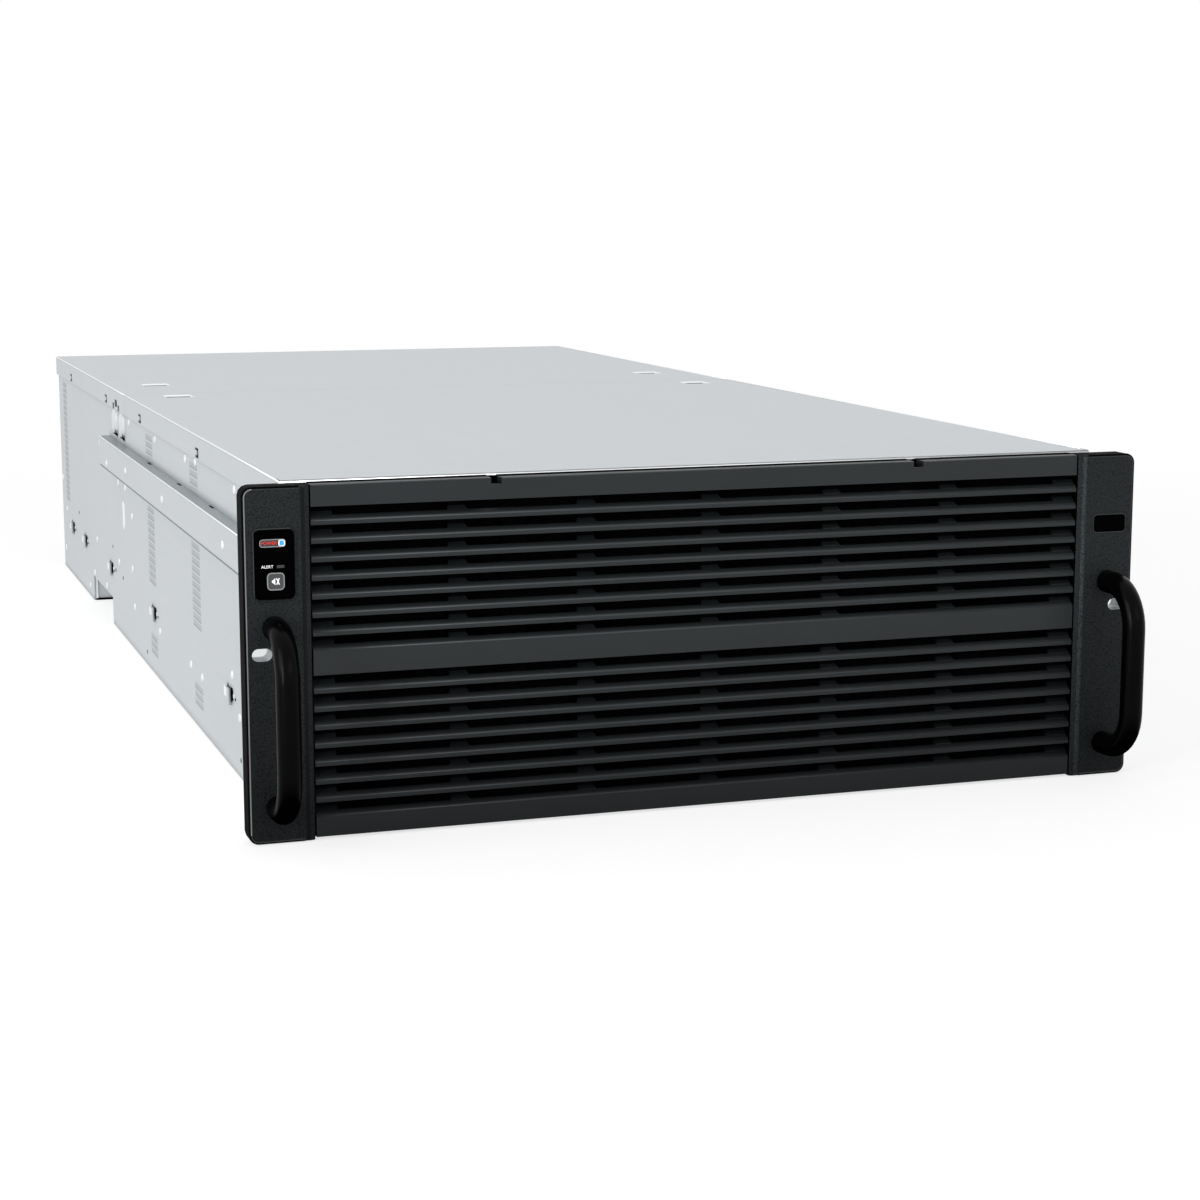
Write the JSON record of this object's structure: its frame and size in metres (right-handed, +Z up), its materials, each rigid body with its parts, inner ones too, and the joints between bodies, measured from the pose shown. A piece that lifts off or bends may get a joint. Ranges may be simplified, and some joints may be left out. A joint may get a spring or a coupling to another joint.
{
  "type": "disk shelf enclosure",
  "caption": "Four-unit rack shelf for upright disk drives, with louvred bezel, ears with handles, lift-off covers, spinning fans, and rear supplies and modules that slide out.",
  "frame": {"origin": "middle of the footprint at the height of the floor pan's underside", "axes": "+X to the right as seen from the front, +Y from the bezel to the rear, +Z up"},
  "size_m": [0.482, 1.007, 0.1762],
  "materials": {
    "zinc_steel": "zinc-plated sheet",
    "black_paint": "fine textured powder paint",
    "gloss_black_paint": "gloss paint",
    "grey_plastic": "moulded, fine grain",
    "black_plastic": "moulded",
    "panel_plastic": "polished",
    "key_plastic": "satin",
    "lamp_blue": "clear lens",
    "lamp_amber": "clear lens",
    "drive_metal": "cast and machined",
    "board_green": "solder mask",
    "screw_steel": "zinc-plated"
  },
  "bodies": {
    "chassis": {"bottom_pan": "zinc_steel", "left_side_wall": "zinc_steel", "right_side_wall": "zinc_steel", "rear_panel": "zinc_steel", "front_intake_panel": "black_paint", "left_guide_rail": "zinc_steel", "right_guide_rail": "zinc_steel", "left_ear": "black_paint", "right_ear": "black_paint", "left_ear_bracket": "zinc_steel", "right_ear_bracket": "zinc_steel", "left_handle": "gloss_black_paint", "right_handle": "gloss_black_paint", "handle_screws": "screw_steel", "front_bezel": "grey_plastic", "status_panel": "panel_plastic", "power_light": "lamp_blue", "alert_light": "lamp_amber", "badge_plate": "panel_plastic", "drive_cage": "zinc_steel", "drive_backplane": "board_green", "drive_connectors": "black_plastic", "drive_carriers": "black_plastic", "fan_wall": "zinc_steel", "rear_bay_shelf": "zinc_steel", "rear_bay_dividers": "zinc_steel", "midplane_board": "board_green", "drives_row_1": "drive_metal", "drives_row_2": "drive_metal", "drives_row_3": "drive_metal", "drives_row_4": "drive_metal", "drives_row_5": "drive_metal", "fan_housing_1": "black_plastic", "fan_housing_2": "black_plastic", "fan_housing_3": "black_plastic"},
    "front_cover": {"front_cover": "zinc_steel"},
    "rear_cover": {"rear_cover": "zinc_steel"},
    "mute_button": {"mute_button": "key_plastic"},
    "fan_rotor_1": {"fan_rotor_1": "black_plastic"},
    "fan_rotor_2": {"fan_rotor_2": "black_plastic"},
    "fan_rotor_3": {"fan_rotor_3": "black_plastic"},
    "psu_left": {"psu_left_case": "zinc_steel", "psu_left_inlet": "black_plastic", "psu_left_handle": "gloss_black_paint"},
    "psu_left_rotor": {"psu_left_rotor": "black_plastic"},
    "psu_left_latch": {"psu_left_latch": "black_plastic"},
    "psu_right": {"psu_right_case": "zinc_steel", "psu_right_inlet": "black_plastic", "psu_right_handle": "gloss_black_paint"},
    "psu_right_rotor": {"psu_right_rotor": "black_plastic"},
    "psu_right_latch": {"psu_right_latch": "black_plastic"},
    "expander_left": {"expander_left_case": "zinc_steel", "expander_left_board": "board_green"},
    "expander_left_lever": {"expander_left_lever": "black_plastic"},
    "expander_right": {"expander_right_case": "zinc_steel", "expander_right_board": "board_green"},
    "expander_right_lever": {"expander_right_lever": "black_plastic"}
  },
  "joints": [
    {"name": "front_cover_lift", "type": "slide", "parent": "chassis", "child": "front_cover", "axis": [0, 0, 1], "range_m": [0, 0.15]},
    {"name": "rear_cover_lift", "type": "slide", "parent": "chassis", "child": "rear_cover", "axis": [0, 0, 1], "range_m": [0, 0.15]},
    {"name": "mute_button_press", "type": "slide", "parent": "chassis", "child": "mute_button", "axis": [0, 1, 0], "range_m": [0, 0.0008], "stiffness_N_per_m": 500, "springref_m": -0.0005},
    {"name": "fan_1_spin", "type": "hinge", "parent": "chassis", "child": "fan_rotor_1", "pos_m": [-0.136, 0.1209, 0.08735], "axis": [0, 1, 0], "continuous": true},
    {"name": "fan_2_spin", "type": "hinge", "parent": "chassis", "child": "fan_rotor_2", "pos_m": [0, 0.1209, 0.08735], "axis": [0, 1, 0], "continuous": true},
    {"name": "fan_3_spin", "type": "hinge", "parent": "chassis", "child": "fan_rotor_3", "pos_m": [0.136, 0.1209, 0.08735], "axis": [0, 1, 0], "continuous": true},
    {"name": "psu_left_slide", "type": "slide", "parent": "chassis", "child": "psu_left", "axis": [0, 1, 0], "range_m": [0, 0.18]},
    {"name": "psu_left_fan_spin", "type": "hinge", "parent": "psu_left", "child": "psu_left_rotor", "pos_m": [-0.15665, 0.4759, 0.021], "axis": [0, 1, 0], "continuous": true},
    {"name": "psu_left_latch_squeeze", "type": "hinge", "parent": "psu_left", "child": "psu_left_latch", "pos_m": [-0.1385, 0.4867, 0.021], "axis": [0, 0, 1], "range_deg": [0, 12], "stiffness_Nm_per_rad": 0.05},
    {"name": "psu_right_slide", "type": "slide", "parent": "chassis", "child": "psu_right", "axis": [0, 1, 0], "range_m": [0, 0.18]},
    {"name": "psu_right_fan_spin", "type": "hinge", "parent": "psu_right", "child": "psu_right_rotor", "pos_m": [0.18945, 0.4759, 0.021], "axis": [0, 1, 0], "continuous": true},
    {"name": "psu_right_latch_squeeze", "type": "hinge", "parent": "psu_right", "child": "psu_right_latch", "pos_m": [0.2076, 0.4867, 0.021], "axis": [0, 0, 1], "range_deg": [0, 12], "stiffness_Nm_per_rad": 0.05},
    {"name": "expander_left_slide", "type": "slide", "parent": "chassis", "child": "expander_left", "axis": [0, 1, 0], "range_m": [0, 0.18]},
    {"name": "expander_left_lever_swing", "type": "hinge", "parent": "expander_left", "child": "expander_left_lever", "pos_m": [-0.1099, 0.4866, 0.032], "axis": [0, 0, 1], "range_deg": [0, 75]},
    {"name": "expander_right_slide", "type": "slide", "parent": "chassis", "child": "expander_right", "axis": [0, 1, 0], "range_m": [0, 0.18]},
    {"name": "expander_right_lever_swing", "type": "hinge", "parent": "expander_right", "child": "expander_right_lever", "pos_m": [0.0099, 0.4866, 0.032], "axis": [0, 0, 1], "range_deg": [0, 75]}
  ]
}
